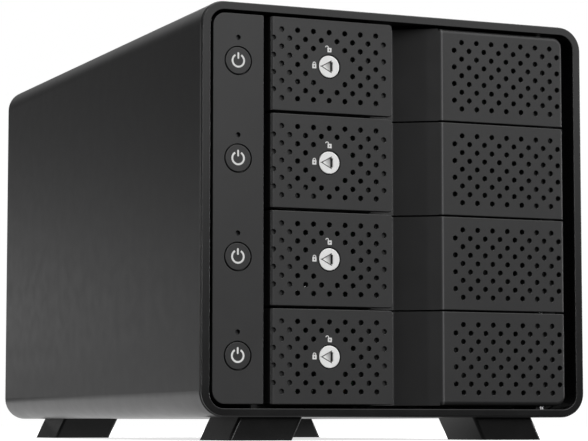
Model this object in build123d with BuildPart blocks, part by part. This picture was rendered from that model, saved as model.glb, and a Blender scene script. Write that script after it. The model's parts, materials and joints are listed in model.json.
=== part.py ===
"""Four-bay desktop enclosure for 3.5 inch disk drives.

An extruded aluminium sleeve on four raked feet. A plastic frame closes its front and holds a strip
of four power buttons on the left and four swing doors on the right. Each door turns on one tall
steel rod, and carries a perforated lever with a key lock. Behind the doors are the drive cage, the
backplane, the control board and a 120 mm fan.

Axes: X to the right, Y from the front to the back, Z up. The origin is the centre of the footprint,
on the plane that the feet stand on. Depths are counted backwards from the face of the doors.
"""

from build123d import *
import math
import os

os.makedirs("parts", exist_ok=True)

# Sleeve and front frame
body_width = 158.7
body_height = 152.0
body_depth = 250.6
foot_height = 8.6
corner_radius = 9.3
sleeve_wall = 2.0
fit_gap = 0.2
frame_width = 158.1
frame_height = 151.4
frame_bar = 3.15
frame_top_bar = 3.05
frame_bottom_bar = 2.75
frame_flange = 1.3
frame_proud = 0.4
spigot_depth = 16.0

# Drive bays
bay_count = 4
bay_pitch = 36.0
first_bay_z = 30.7
bay_x = 8.0
drive_width = 101.6
drive_height = 26.1
drive_length = 147.0
bay_clearance = 1.0
drive_front = 14.6
cage_sheet = 1.2

# Doors
door_height = 35.4
door_end_x = 71.6
crease_x = 18.75
recess_x = 2.65
recess_depth = 10.4
door_skin = 2.0
door_rib = 1.5
door_depth = recess_depth + door_skin
crease_lip = 1.2
crease_radius = 0.5
end_radius = 1.6
edge_radius = 0.3
rim_chamfer = 0.12
stile_x = 58.5
hinge_x = 63.5
hinge_depth = 5.0
hinge_rod_radius = 1.0
knuckle_radius = 2.6
knuckle_length = 7.0
knuckle_end = 15.0
running_gap = 0.05

# Levers and locks
lever_left = -52.0
lever_right = -2.35
lever_height = 35.0
lever_skin = 2.2
pivot_x = -47.0
pivot_depth = 5.5
pivot_radius = 1.0
lock_x = -28.33
lock_radius = 4.15
lock_bore = 4.55
dish_left = -2.8
dish_right = 0.9
dish_half_height = 2.1
dish_depth = 0.9
key_slot = (0.7, 3.5)

# Perforation: a square grid turned by 45 degrees
hole_radius = 0.97
hole_step = 3.2045
hole_rows = 9
hole_columns = 15
lever_grid_x = -50.76
door_grid_x = 24.05
blind_depth = 1.3

# Button strip
strip_left = -74.75
strip_right = -54.75
strip_height = 143.0
strip_skin = 1.8
strip_depth = 13.0
button_x = -64.85
button_radius = 5.0
button_bore = 5.45
led_rise = 8.6
led_bore = 0.95
led_sink = 1.6
led_depth = 9.7

# Feet
foot_width = 25.4
foot_length = 30.5
foot_rake = 4.2
foot_outer_top_x = 60.9
front_foot_depth = 8.0
rear_foot_depth = 218.0

# Rear end
rear_recess = 3.5
rear_sheet = 1.5
fan_size = 120.0
fan_depth = 25.0
fan_x = 14.0
fan_screw_pitch = 105.0
boss_x = 70.5
boss_rise = 67.2
boss_radius = 3.2
screw_radius = 1.5
head_radius = 2.8
low_head_height = 1.0
socket_radius = 1.3

# Places worked out from the sizes above
body_z = foot_height + body_height / 2
frame_face = -body_depth / 2
door_face = frame_face + frame_proud
sleeve_front = frame_flange - frame_proud
sleeve_rear = body_depth - frame_proud
opening_width = frame_width - 2 * frame_bar
opening_height = frame_height - frame_top_bar - frame_bottom_bar
opening_z = body_z + (frame_bottom_bar - frame_top_bar) / 2
opening_radius = 5.8
bay_z = [first_bay_z + bay_pitch * n for n in range(bay_count)]
stack_z = sum(bay_z) / bay_count
ramp_slope = recess_depth / (crease_x - recess_x)
lip_x = crease_x - crease_lip
lip_depth = crease_lip * ramp_slope
bay_half = drive_width / 2 + bay_clearance
cage_front = 22.0
cage_rear = 170.0
post_front = 14.8
post_rear = 25.0
boss_front = post_rear + 1.0
floor_z = foot_height + sleeve_wall
ceiling_z = foot_height + body_height - sleeve_wall
rear_face = sleeve_rear - rear_recess
rear_front = rear_face - rear_sheet
fan_front = rear_front - fan_depth
board_rear = rear_front - 1.0
board_x = -60.0
board_sheet = 1.6
foot_x = foot_outer_top_x - foot_width / 2
foot_depths = [front_foot_depth + foot_length / 2, rear_foot_depth + foot_length / 2]
boss_points = [(x, body_z + z) for x in (-boss_x, boss_x) for z in (-boss_rise, boss_rise)]
fan_reach = fan_screw_pitch / 2
fan_points = [(fan_x + x, body_z + z) for x in (-fan_reach, fan_reach) for z in (-fan_reach, fan_reach)]


def across(depth):
    """Plane facing the front at a depth behind the doors' face: local x is X and local y is Z."""
    return Plane(origin=(0, door_face + depth, 0), x_dir=(1, 0, 0), z_dir=(0, -1, 0))


def plan(*points):
    """Points of a plan view, given as X and depth."""
    return [(x, door_face + depth) for x, depth in points]


def save(piece, name):
    """Label a finished piece and write it."""
    piece.part.label = name
    export_step(piece.part, f"parts/{name}.step")


def hole_grid(grid_x, centre_z, solid_cells=(), columns=range(hole_columns)):
    """Centres of the staggered holes round one bay's height, without the cells left solid."""
    middle = (hole_rows - 1) // 2
    return [
        (grid_x + u * hole_step, centre_z + (middle - v) * hole_step)
        for v in range(hole_rows)
        for u in columns
        if (u + v) % 2 and (u, v) not in solid_cells
    ]


# ---------------------------------------------------------------- sleeve, frame and feet

with BuildPart() as outer_sleeve:
    with BuildSketch(across(sleeve_front)):
        with Locations((0, body_z)):
            RectangleRounded(body_width, body_height, corner_radius)
            RectangleRounded(
                body_width - 2 * sleeve_wall,
                body_height - 2 * sleeve_wall,
                corner_radius - sleeve_wall,
                mode=Mode.SUBTRACT,
            )
    extrude(amount=sleeve_front - sleeve_rear)
    for face in (outer_sleeve.faces().sort_by(Axis.Y)[0], outer_sleeve.faces().sort_by(Axis.Y)[-1]):
        chamfer(face.outer_wire().edges(), 0.3)
    # Screw channels in the corners, cut back clear of the front frame
    with BuildSketch(across(boss_front)):
        with Locations(*boss_points):
            Circle(boss_radius)
        for x, z in boss_points:
            side = math.copysign(1, x)
            rise = math.copysign(1, z - body_z)
            with Locations((x + side * 2.6, z + rise * 2.6)):
                Rectangle(7.0, 7.0, rotation=45)
    extrude(amount=boss_front - rear_front)
    with BuildSketch(across(0)):
        with Locations((0, body_z)):
            RectangleRounded(body_width, body_height, corner_radius)
    extrude(amount=-sleeve_rear, mode=Mode.INTERSECT)
    with BuildSketch(across(rear_front)):
        with Locations(*boss_points):
            Circle(screw_radius)
    extrude(amount=14, mode=Mode.SUBTRACT)
    # Clearance holes for the foot screws
    with BuildSketch(Plane.XY.offset(foot_height)):
        with Locations(*plan(*[(side * foot_x, d) for side in (-1, 1) for d in foot_depths])):
            Circle(screw_radius + 0.1)
    extrude(amount=sleeve_wall, mode=Mode.SUBTRACT)
save(outer_sleeve, "outer_sleeve")

with BuildPart() as front_frame:
    with BuildSketch(across(-frame_proud)):
        with Locations((0, body_z)):
            RectangleRounded(frame_width, frame_height, corner_radius - 0.3)
    extrude(amount=-frame_flange)
    fillet(front_frame.faces().sort_by(Axis.Y)[0].edges(), 0.35)
    with BuildSketch(across(sleeve_front)):
        with Locations((0, body_z)):
            RectangleRounded(
                body_width - 2 * sleeve_wall - 2 * fit_gap,
                body_height - 2 * sleeve_wall - 2 * fit_gap,
                corner_radius - sleeve_wall - fit_gap,
            )
    extrude(amount=-(spigot_depth - sleeve_front))
    with BuildSketch(across(-frame_proud)):
        with Locations((0, opening_z)):
            RectangleRounded(opening_width, opening_height, opening_radius)
    extrude(amount=-(spigot_depth + frame_proud), mode=Mode.SUBTRACT)
    fillet(front_frame.faces().sort_by(Axis.Y)[0].inner_wires()[0].edges(), 0.25)
save(front_frame, "front_frame")


def foot(side, depth):
    """A foot raked outwards by foot_rake over its height; side is -1 on the left, 1 on the right."""
    inner_top = side * (foot_outer_top_x - foot_width)
    outer_top = side * foot_outer_top_x
    rake = side * foot_rake
    with BuildPart() as raked_foot:
        with BuildSketch(across(depth)):
            with BuildLine():
                Polyline(
                    (inner_top, foot_height),
                    (outer_top, foot_height),
                    (outer_top + rake, 0),
                    (inner_top + rake, 0),
                    close=True,
                )
            make_face()
        extrude(amount=-foot_length)
        corner_length = math.hypot(rake, foot_height)
        corners = raked_foot.edges().filter_by(lambda edge: abs(edge.length - corner_length) < 0.01)
        fillet(corners, 1.2)
        with BuildSketch(Plane.XY.offset(foot_height)):
            with Locations(*plan((side * foot_x, depth + foot_length / 2))):
                Circle(screw_radius)
        extrude(amount=-5.5, mode=Mode.SUBTRACT)
    return raked_foot


for end, start in (("front", front_foot_depth), ("rear", rear_foot_depth)):
    for hand, side in (("left", -1), ("right", 1)):
        save(foot(side, start), f"foot_{end}_{hand}")

with BuildPart() as foot_screws:
    for side in (-1, 1):
        for depth in foot_depths:
            with BuildSketch(Plane.XY.offset(foot_height - 5.4)):
                with Locations(*plan((side * foot_x, depth))):
                    Circle(screw_radius)
            extrude(amount=5.4 + sleeve_wall)
            with BuildSketch(Plane.XY.offset(floor_z)):
                with Locations(*plan((side * foot_x, depth))):
                    Circle(head_radius)
                    RegularPolygon(socket_radius, 6, mode=Mode.SUBTRACT)
            extrude(amount=low_head_height)
save(foot_screws, "foot_screws")

# ---------------------------------------------------------------- button strip

strip_x = (strip_left + strip_right) / 2
strip_width = strip_right - strip_left
post_spots = [(x, stack_z + z) for x in (-71.2, -58.2) for z in (-62.0, 62.0)]
board_front = 10.5
switch_top = 7.3

with BuildPart() as control_strip:
    with BuildSketch(across(0)) as strip_outline:
        with Locations((strip_x, stack_z)):
            Rectangle(strip_width, strip_height)
        fillet(strip_outline.vertices().group_by(Axis.X)[0], 5.0)
        fillet(strip_outline.vertices().group_by(Axis.X)[-1], 0.5)
    extrude(amount=-strip_depth)
    with BuildSketch(across(strip_skin)) as strip_hollow:
        with Locations((strip_x, stack_z)):
            Rectangle(strip_width - 2.8, strip_height - 2.8)
        fillet(strip_hollow.vertices().group_by(Axis.X)[0], 3.6)
    extrude(amount=-strip_depth, mode=Mode.SUBTRACT)
    fillet(control_strip.faces().sort_by(Axis.Y)[0].edges(), 0.3)
    with BuildSketch(across(strip_skin)):
        with Locations(*post_spots):
            Circle(2.0)
    extrude(amount=strip_skin - board_front)
    with BuildSketch(across(board_front)):
        with Locations(*post_spots):
            Circle(0.8)
    extrude(amount=6.0, mode=Mode.SUBTRACT)
    with BuildSketch(across(0)):
        with Locations(*[(button_x, z) for z in bay_z]):
            Circle(button_bore)
        with Locations(*[(button_x, z + led_rise) for z in bay_z]):
            Circle(led_bore)
    extrude(amount=-strip_skin, mode=Mode.SUBTRACT)
save(control_strip, "control_strip")


def power_button(centre_z):
    """A round cap held by its flange behind the strip, with a stem that presses the switch."""
    with BuildPart() as button:
        for radius, start, end in ((button_radius, 0, 2.1), (6.0, 2.1, 3.1), (1.6, 3.1, 6.4)):
            with BuildSketch(across(start)):
                with Locations((button_x, centre_z)):
                    Circle(radius)
            extrude(amount=start - end)
        fillet(button.faces().sort_by(Axis.Y)[0].edges(), 0.25)
    return button


for number, centre_z in enumerate(reversed(bay_z), 1):
    save(power_button(centre_z), f"power_button_{number}")

with BuildPart() as light_pipes:
    with BuildSketch(across(led_sink)):
        with Locations(*[(button_x, z + led_rise) for z in bay_z]):
            Circle(led_bore - 0.05)
    extrude(amount=led_sink - led_depth + 0.1)
save(light_pipes, "light_pipes")

with BuildPart() as status_leds:
    with BuildSketch(across(led_depth)):
        with Locations(*[(button_x, z + led_rise) for z in bay_z]):
            Rectangle(1.6, 3.2)
    extrude(amount=led_depth - board_front)
save(status_leds, "status_leds")

with BuildPart() as button_board:
    with BuildSketch(across(board_front)):
        with Locations((strip_x, stack_z)):
            RectangleRounded(16.6, 134.0, 1.5)
        with Locations(*post_spots):
            Circle(1.1, mode=Mode.SUBTRACT)
    extrude(amount=-board_sheet)
save(button_board, "button_board")

with BuildPart() as button_switches:
    with BuildSketch(across(8.0)):
        with Locations(*[(button_x, z) for z in bay_z]):
            RectangleRounded(6.0, 6.0, 0.5)
    extrude(amount=8.0 - board_front)
    with BuildSketch(across(switch_top)):
        with Locations(*[(button_x, z) for z in bay_z]):
            Circle(1.7)
    extrude(amount=switch_top - 8.0)
save(button_switches, "button_switches")

with BuildPart() as strip_screws:
    with BuildSketch(across(board_front - 4.0)):
        with Locations(*post_spots):
            Circle(0.8)
    extrude(amount=-(4.0 + board_sheet))
    with BuildSketch(across(board_front + board_sheet)):
        with Locations(*post_spots):
            Circle(1.9)
            Rectangle(2.4, 0.5, mode=Mode.SUBTRACT)
    extrude(amount=-1.2)
save(strip_screws, "strip_screws")

# ---------------------------------------------------------------- posts and hinge rod

post_bottom = opening_z - opening_height / 2
hinge_breaks = [bay_z[0] - bay_pitch / 2] + [z + bay_pitch / 2 for z in bay_z]

with BuildPart() as latch_post:
    with BuildSketch(Plane.XY.offset(post_bottom)):
        with BuildLine():
            Polyline(*plan((-54.3, 14.0), (-45.2, 14.0), (-45.2, post_rear), (-54.3, post_rear)), close=True)
        make_face()
    extrude(amount=opening_height)
    fillet(latch_post.edges().filter_by(Axis.Z).group_by(Axis.Y)[0], 1.0)
save(latch_post, "latch_post")

with BuildPart() as hinge_post:
    with BuildSketch(Plane.XY.offset(post_bottom)):
        with BuildLine():
            Polyline(
                *plan((61.2, post_front), (75.5, post_front), (75.5, post_rear), (61.2, post_rear)),
                close=True,
            )
        make_face()
    extrude(amount=opening_height)
    with BuildSketch(across(post_front)):
        with Locations((0, opening_z)):
            RectangleRounded(opening_width - 0.4, opening_height, opening_radius + 0.4)
    extrude(amount=post_front - post_rear, mode=Mode.INTERSECT)
    # Saddles that hold the rod from behind, between the doors' knuckles
    for z in hinge_breaks:
        low = max(z - 2.4, post_bottom)
        high = min(z + 2.4, post_bottom + opening_height)
        with BuildSketch(Plane.XY.offset(low)):
            with BuildLine():
                Polyline(
                    *plan(
                        (hinge_x - 2.5, hinge_depth),
                        (hinge_x + 2.0, hinge_depth),
                        (hinge_x + 2.0, post_front),
                        (hinge_x - 2.5, post_front),
                    ),
                    close=True,
                )
            make_face()
            with Locations(*plan((hinge_x, hinge_depth))):
                Circle(hinge_rod_radius, mode=Mode.SUBTRACT)
        extrude(amount=high - low)
save(hinge_post, "hinge_post")

with BuildPart() as hinge_rod:
    with BuildSketch(Plane.XY.offset(post_bottom)):
        with Locations(*plan((hinge_x, hinge_depth))):
            Circle(hinge_rod_radius)
    extrude(amount=opening_height)
save(hinge_rod, "hinge_rod")


# ---------------------------------------------------------------- doors, levers and locks

def front_of(piece):
    """The foremost flat face of a piece."""
    return piece.faces().filter_by(Plane.XZ).sort_by(Axis.Y)[0]


def soften_rims(piece):
    """Break the sharp rims of the round holes in the front of the piece under construction."""
    rims = [wire.edges()[0] for wire in front_of(piece).inner_wires() if len(wire.edges()) == 1]
    chamfer(rims, rim_chamfer)


def door_frame(centre_z):
    """The door's moulded frame: back wall, finger ramp, ribs, stile and hinge knuckles."""
    low = centre_z - door_height / 2
    ramp_shift = (door_skin / math.cos(math.atan(ramp_slope)) - door_skin) / ramp_slope
    with BuildPart() as frame:
        # Back wall and ramp over the whole height
        with BuildSketch(Plane.XY.offset(low)):
            with BuildLine():
                Polyline(
                    *plan(
                        (-44.4, recess_depth),
                        (recess_x, recess_depth),
                        (lip_x, lip_depth),
                        (lip_x, door_skin),
                        (crease_x + ramp_shift, door_skin),
                        (recess_x + ramp_shift, door_depth),
                        (-44.4, door_depth),
                    ),
                    close=True,
                )
            make_face()
        extrude(amount=door_height)
        fold = (recess_x, door_face + recess_depth, centre_z)
        fillet(frame.edges().filter_by(Axis.Z).sort_by_distance(fold)[0], 1.5)
        # Ribs along the top and the bottom
        for start in (low, low + door_height - door_rib):
            with BuildSketch(Plane.XY.offset(start)):
                with BuildLine():
                    Polyline(
                        *plan(
                            (pivot_x, 3.2),
                            (-10.0, 3.2),
                            (-8.0, recess_depth),
                            (recess_x, recess_depth),
                            (crease_x - door_skin / ramp_slope, door_skin),
                            (stile_x, door_skin),
                            (stile_x, door_depth),
                            (pivot_x, door_depth),
                        ),
                        close=True,
                    )
                make_face()
                with Locations(*plan((pivot_x, pivot_depth))):
                    Circle(knuckle_radius)
            extrude(amount=door_rib)
        # Stile beside the hinge
        with BuildSketch(Plane.XY.offset(low)):
            with BuildLine():
                Polyline(
                    *plan((56.5, door_skin), (stile_x, door_skin), (stile_x, door_depth), (56.5, door_depth)),
                    close=True,
                )
            make_face()
        extrude(amount=door_height)
        # Two hinge knuckles on short arms
        for start in (centre_z - knuckle_end, centre_z + knuckle_end - knuckle_length):
            with BuildSketch(Plane.XY.offset(start)):
                with BuildLine():
                    Polyline(
                        *plan(
                            (57.5, door_skin),
                            (hinge_x + 1.5, door_skin),
                            (hinge_x, hinge_depth + knuckle_radius),
                            (57.5, hinge_depth + knuckle_radius),
                        ),
                        close=True,
                    )
                make_face()
                with Locations(*plan((hinge_x, hinge_depth))):
                    Circle(knuckle_radius)
                    Circle(hinge_rod_radius + running_gap, mode=Mode.SUBTRACT)
            extrude(amount=knuckle_length)
        # Bearing holes for the lever's trunnions
        with BuildSketch(Plane.XY.offset(low)):
            with Locations(*plan((pivot_x, pivot_depth))):
                Circle(pivot_radius + running_gap)
        extrude(amount=door_height, mode=Mode.SUBTRACT)
        # Air slots behind the lever
        with BuildSketch(across(recess_depth)):
            with Locations(*[(-25.5, centre_z + rise) for rise in (-10.5, -3.5, 3.5, 10.5)]):
                SlotOverall(34.0, 4.6)
        extrude(amount=-door_skin, mode=Mode.SUBTRACT)
    return frame


def door_grille(centre_z, round_corner):
    """The perforated face of a door, rounded over at the crease and at its free end.

    round_corner is 1 for the top door, -1 for the bottom one and 0 for those between.
    """
    with BuildPart() as grille:
        with BuildSketch(Plane.XY.offset(centre_z - door_height / 2)):
            with BuildLine():
                Polyline(
                    *plan(
                        (lip_x, lip_depth),
                        (crease_x, 0),
                        (door_end_x, 0),
                        (door_end_x, door_skin),
                        (lip_x, door_skin),
                    ),
                    close=True,
                )
            make_face()
        extrude(amount=door_height)
        if round_corner:
            upright_edges = grille.edges().filter_by(Axis.Y).group_by(Axis.X)[-1].sort_by(Axis.Z)
            fillet(upright_edges[-1 if round_corner > 0 else 0], 4.0)
        fillet(front_of(grille).edges().group_by(Axis.X)[0], crease_radius)
        fillet(front_of(grille).edges().filter_by(Axis.Z).group_by(Axis.X)[-1], end_radius)
        fillet(front_of(grille).edges().filter_by(Axis.X), edge_radius)
        with BuildSketch(across(0)):
            with Locations(*hole_grid(door_grid_x, centre_z)):
                Circle(hole_radius)
        extrude(amount=-door_skin, mode=Mode.SUBTRACT)
        soften_rims(grille)
    return grille


lock_cells = {(7, 2), (6, 3), (8, 3), (5, 4), (7, 4), (9, 4), (6, 5), (8, 5), (7, 6)}


def lever(centre_z):
    """A perforated handle that turns on trunnions at its left end, with a nose behind them."""
    low = centre_z - lever_height / 2
    barrel_low = centre_z - door_height / 2 + door_rib + 0.3
    barrel_height = door_height - 2 * door_rib - 0.6
    with BuildPart() as handle:
        with BuildSketch(across(0)) as outline:
            with Locations(((lever_left + lever_right) / 2, centre_z)):
                Rectangle(lever_right - lever_left, lever_height)
            fillet(outline.vertices().group_by(Axis.X)[-1], 1.3)
        extrude(amount=-lever_skin)
        # Thick left end with a skirt, and thick grip along the right edge
        for left, right, depth, height in (
            (lever_left, -43.6, 2.6, lever_height),
            (lever_left, -50.5, 6.0, lever_height),
            (-8.6, lever_right - 0.3, 3.6, lever_height - 2.6),
        ):
            with BuildSketch(across(lever_skin - 0.5)):
                with Locations(((left + right) / 2, centre_z)):
                    Rectangle(right - left, height)
            extrude(amount=lever_skin - 0.5 - depth)
        # Barrel, its web, and the nose
        with BuildSketch(Plane.XY.offset(barrel_low)):
            with Locations(*plan((pivot_x, pivot_depth))):
                Circle(knuckle_radius)
            with BuildLine():
                Polyline(*plan((-48.8, 2.5), (-45.2, 2.5), (-45.2, 5.5), (-48.8, 5.5)), close=True)
            make_face()
        extrude(amount=barrel_height)
        with BuildSketch(Plane.XY.offset(centre_z - 6.0)):
            with BuildLine():
                Polyline(
                    *plan((-49.2, 5.0), (-52.9, 10.6), (-51.6, 12.0), (-45.6, 7.2), (-47.0, 5.5)),
                    close=True,
                )
            make_face()
        extrude(amount=12.0)
        with BuildSketch(Plane.XY.offset(low)):
            with Locations(*plan((pivot_x, pivot_depth))):
                Circle(pivot_radius)
        extrude(amount=lever_height)
        # Rounded left edge, and the others softened
        fillet(front_of(handle).edges().group_by(Axis.X)[0], 1.4)
        fillet([e for e in front_of(handle).edges() if e.center().X > lever_left + 2], edge_radius)
        # Lock housing
        with BuildSketch(across(lever_skin - 0.5)):
            with Locations((lock_x, centre_z)):
                Circle(6.2)
        extrude(amount=lever_skin - 0.5 - 7.0)
        with BuildSketch(across(0)):
            with Locations((lock_x, centre_z)):
                Circle(lock_bore)
        extrude(amount=-7.0, mode=Mode.SUBTRACT)
        # Open holes in the middle, blind ones over the barrel and the grip
        with BuildSketch(across(0)):
            with Locations(*hole_grid(lever_grid_x, centre_z, lock_cells, range(3, 14))):
                Circle(hole_radius)
        extrude(amount=-lever_skin, mode=Mode.SUBTRACT)
        with BuildSketch(across(0)):
            with Locations(*hole_grid(lever_grid_x, centre_z, lock_cells, (0, 1, 2, 14))):
                Circle(hole_radius)
        extrude(amount=-blind_depth, mode=Mode.SUBTRACT)
        soften_rims(handle)
    return handle


def key_dish(centre_z):
    """The triangular dish in the lock's face: it points left and gets deeper towards the key slot."""
    tip = lock_x + dish_left
    end = lock_x + dish_right
    with BuildPart() as dish:
        with BuildSketch(Plane.XY.offset(centre_z - dish_half_height)):
            with BuildLine():
                Polyline(*plan((tip, 0), (end, 0), (end, dish_depth)), close=True)
            make_face()
        extrude(amount=2 * dish_half_height)
        with BuildSketch(across(0)):
            with BuildLine():
                Polyline(
                    (tip, centre_z),
                    (end, centre_z + dish_half_height),
                    (end, centre_z - dish_half_height),
                    close=True,
                )
            make_face()
        extrude(amount=-dish_depth, mode=Mode.INTERSECT)
    return dish


def lock_rotor(centre_z):
    """The key-turned barrel: a triangular dish and key slot in front, a cam arm behind."""
    dish = key_dish(centre_z)
    with BuildPart() as rotor:
        with BuildSketch(across(0)):
            with Locations((lock_x, centre_z)):
                Circle(lock_radius)
        extrude(amount=-7.2)
        fillet(rotor.faces().sort_by(Axis.Y)[0].edges(), 0.25)
        add(dish.part, mode=Mode.SUBTRACT)
        with BuildSketch(across(0)):
            with Locations((lock_x + dish_right + key_slot[0] / 2 - 0.1, centre_z)):
                Rectangle(*key_slot)
        extrude(amount=-3.0, mode=Mode.SUBTRACT)
        # Cam arm
        with BuildSketch(across(7.2)):
            with Locations((lock_x - 3.2, centre_z)):
                SlotOverall(11.0, 3.4)
            with Locations((lock_x, centre_z)):
                Circle(3.0)
        extrude(amount=-1.6)
    return rotor


for number, centre_z in enumerate(reversed(bay_z), 1):
    round_corner = {1: 1, bay_count: -1}.get(number, 0)
    save(door_frame(centre_z), f"door_frame_{number}")
    save(door_grille(centre_z, round_corner), f"door_grille_{number}")
    save(lever(centre_z), f"lever_{number}")
    save(lock_rotor(centre_z), f"lock_rotor_{number}")

# ---------------------------------------------------------------- drive cage

cage_left = bay_x - bay_half - cage_sheet
cage_right = bay_x + bay_half
tab_z = (25.0, 143.0)


def cage_wall(inner_x, side):
    """A side wall of the cage with two screw tabs at its rear end."""
    left = inner_x if side > 0 else inner_x - cage_sheet
    with BuildPart() as wall:
        with BuildSketch(Plane.XY.offset(floor_z + cage_sheet)):
            with BuildLine():
                Polyline(
                    *plan(
                        (left, cage_front),
                        (left + cage_sheet, cage_front),
                        (left + cage_sheet, cage_rear),
                        (left, cage_rear),
                    ),
                    close=True,
                )
            make_face()
        extrude(amount=ceiling_z - floor_z - 2 * cage_sheet)
        with BuildSketch(across(cage_rear - cage_sheet)):
            for z in tab_z:
                with Locations((inner_x + side * 4.5, z)):
                    RectangleRounded(9.0, 9.0, 1.5)
        extrude(amount=-cage_sheet)
        with BuildSketch(across(cage_rear - cage_sheet)):
            with Locations(*[(inner_x + side * 5.5, z) for z in tab_z]):
                Circle(screw_radius)
        extrude(amount=-cage_sheet, mode=Mode.SUBTRACT)
        # Cooling slots level with the gaps between drives
        with BuildSketch(Plane(origin=(left, 0, 0), x_dir=(0, 1, 0), z_dir=(1, 0, 0))):
            for z in bay_z[1:]:
                with Locations(*[(door_face + d, z - bay_pitch / 2 + 0.5) for d in (55.0, 95.0, 135.0)]):
                    SlotOverall(26.0, 3.0)
        extrude(amount=cage_sheet, mode=Mode.SUBTRACT)
    return wall


save(cage_wall(bay_x - bay_half, -1), "cage_left_wall")
save(cage_wall(bay_x + bay_half, 1), "cage_right_wall")

for name, start in (("cage_bottom_plate", floor_z), ("cage_top_plate", ceiling_z - cage_sheet)):
    with BuildPart() as cage_plate:
        with BuildSketch(Plane.XY.offset(start)):
            with BuildLine():
                Polyline(
                    *plan(
                        (cage_left, cage_front),
                        (cage_right + cage_sheet, cage_front),
                        (cage_right + cage_sheet, cage_rear),
                        (cage_left, cage_rear),
                    ),
                    close=True,
                )
            make_face()
            # Room for the heads of the foot screws
            with Locations(*plan((-foot_x, foot_depths[0]), (foot_x, foot_depths[0]))):
                Circle(4.0, mode=Mode.SUBTRACT)
        extrude(amount=cage_sheet)
    save(cage_plate, name)

with BuildPart() as drive_rails:
    for centre_z in bay_z:
        for inner_x, side in ((cage_left + cage_sheet, 1), (cage_right, -1)):
            with BuildSketch(across(26.0)):
                with Locations((inner_x + side * 1.9, centre_z - drive_height / 2 - 1.65)):
                    Rectangle(3.8, 2.8)
            extrude(amount=-134.0)
save(drive_rails, "drive_rails")

# ---------------------------------------------------------------- electronics

backplane_z = (bay_z[0] + bay_z[-1]) / 2
tab_spots = [(bay_x - bay_half - 5.5, z) for z in tab_z] + [(bay_x + bay_half + 5.5, z) for z in tab_z]

with BuildPart() as backplane_board:
    with BuildSketch(across(cage_rear)):
        with Locations((bay_x, backplane_z)):
            RectangleRounded(123.4, 126.0, 2.0)
        # Tongue behind the lowest drive connector, clear of the sleeve's corner
        with Locations((bay_x, backplane_z - 63.0)):
            RectangleRounded(100.0, 12.0, 2.0)
        with Locations(*tab_spots):
            Circle(screw_radius + 0.1, mode=Mode.SUBTRACT)
        with Locations(*[(bay_x + 4.0, z + 5.0) for z in bay_z]):
            RectangleRounded(88.0, 13.0, 3.0, mode=Mode.SUBTRACT)
    extrude(amount=-board_sheet)
save(backplane_board, "backplane_board")

with BuildPart() as sata_connectors:
    for centre_z in bay_z:
        socket_z = centre_z - drive_height / 2 + 3.6
        with BuildSketch(across(drive_front + drive_length + 0.6)):
            with Locations((bay_x - 17.0, socket_z)):
                RectangleRounded(44.0, 6.0, 0.8)
        extrude(amount=drive_front + drive_length + 0.6 - cage_rear)
        # Two blade slots, for signal and for power
        with BuildSketch(across(drive_front + drive_length + 0.6)):
            with Locations((bay_x - 31.5, socket_z)):
                Rectangle(10.6, 1.6)
            with Locations((bay_x - 11.6, socket_z)):
                Rectangle(21.0, 1.6)
        extrude(amount=-5.0, mode=Mode.SUBTRACT)
save(sata_connectors, "sata_connectors")

board_low, board_high = 24.0, 138.0
board_start = 110.0
standoff_spots = [(d, z) for d in (116.0, 162.0) for z in (30.0, 132.0)]


def beside(x):
    """Plane facing the left at a given X: local x is Y and local y is Z."""
    return Plane(origin=(x, 0, 0), x_dir=(0, -1, 0), z_dir=(-1, 0, 0))


def board_point(depth, z):
    """A place on the control board, in the local frame of beside()."""
    return (-(door_face + depth), z)


with BuildPart() as control_board:
    with BuildSketch(beside(board_x + board_sheet)):
        with Locations(board_point((board_start + board_rear) / 2, (board_low + board_high) / 2)):
            RectangleRounded(board_rear - board_start, board_high - board_low, 2.0)
        with Locations(*[board_point(d, z) for d, z in standoff_spots]):
            Circle(screw_radius + 0.1, mode=Mode.SUBTRACT)
    extrude(amount=board_sheet)
save(control_board, "control_board")

with BuildPart() as board_standoffs:
    with BuildSketch(beside(cage_left)):
        with Locations(*[board_point(d, z) for d, z in standoff_spots]):
            RegularPolygon(3.0, 6)
    extrude(amount=cage_left - board_x - board_sheet)
    with BuildSketch(beside(board_x + board_sheet)):
        with Locations(*[board_point(d, z) for d, z in standoff_spots]):
            Circle(screw_radius)
    extrude(amount=-7.0, mode=Mode.SUBTRACT)
save(board_standoffs, "board_standoffs")

chip_sizes = [(150.0, 95.0, 14.0), (178.0, 70.0, 10.0), (150.0, 60.0, 8.0), (205.0, 100.0, 9.0)]

with BuildPart() as board_chips:
    for depth, z, size in chip_sizes:
        with BuildSketch(beside(board_x)):
            with Locations(board_point(depth, z)):
                RectangleRounded(size, size, 0.4)
        extrude(amount=1.4)
save(board_chips, "board_chips")

with BuildPart() as bridge_heatsink:
    depth, z, size = chip_sizes[0]
    with BuildSketch(beside(board_x - 1.4)):
        with Locations(board_point(depth, z)):
            Rectangle(22.0, 22.0)
    extrude(amount=2.0)
    with BuildSketch(beside(board_x - 3.4)):
        for row in range(6):
            with Locations(board_point(depth, z - 10.25 + row * 4.1)):
                Rectangle(22.0, 1.5)
    extrude(amount=7.0)
save(bridge_heatsink, "bridge_heatsink")

with BuildPart() as board_capacitors:
    with BuildSketch(beside(board_x)):
        with Locations(*[board_point(195.0 + 11.0 * n, 44.0) for n in range(3)]):
            Circle(4.0)
    extrude(amount=11.5)
    fillet(board_capacitors.faces().group_by(Axis.X)[0].edges(), 0.6)
save(board_capacitors, "board_capacitors")

flex_x = -65.0
flex_end_x = board_x - 1.0

with BuildPart() as button_flex:
    with BuildSketch(Plane.XY.offset(stack_z - 6.0)):
        with BuildLine():
            FilletPolyline(
                *plan((flex_x, 12.1), (flex_x, 92.0), (flex_end_x, 102.0), (flex_end_x, 112.0)),
                radius=12.0,
            )
        trace(line_width=0.3)
    extrude(amount=12.0)
save(button_flex, "button_flex")

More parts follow.
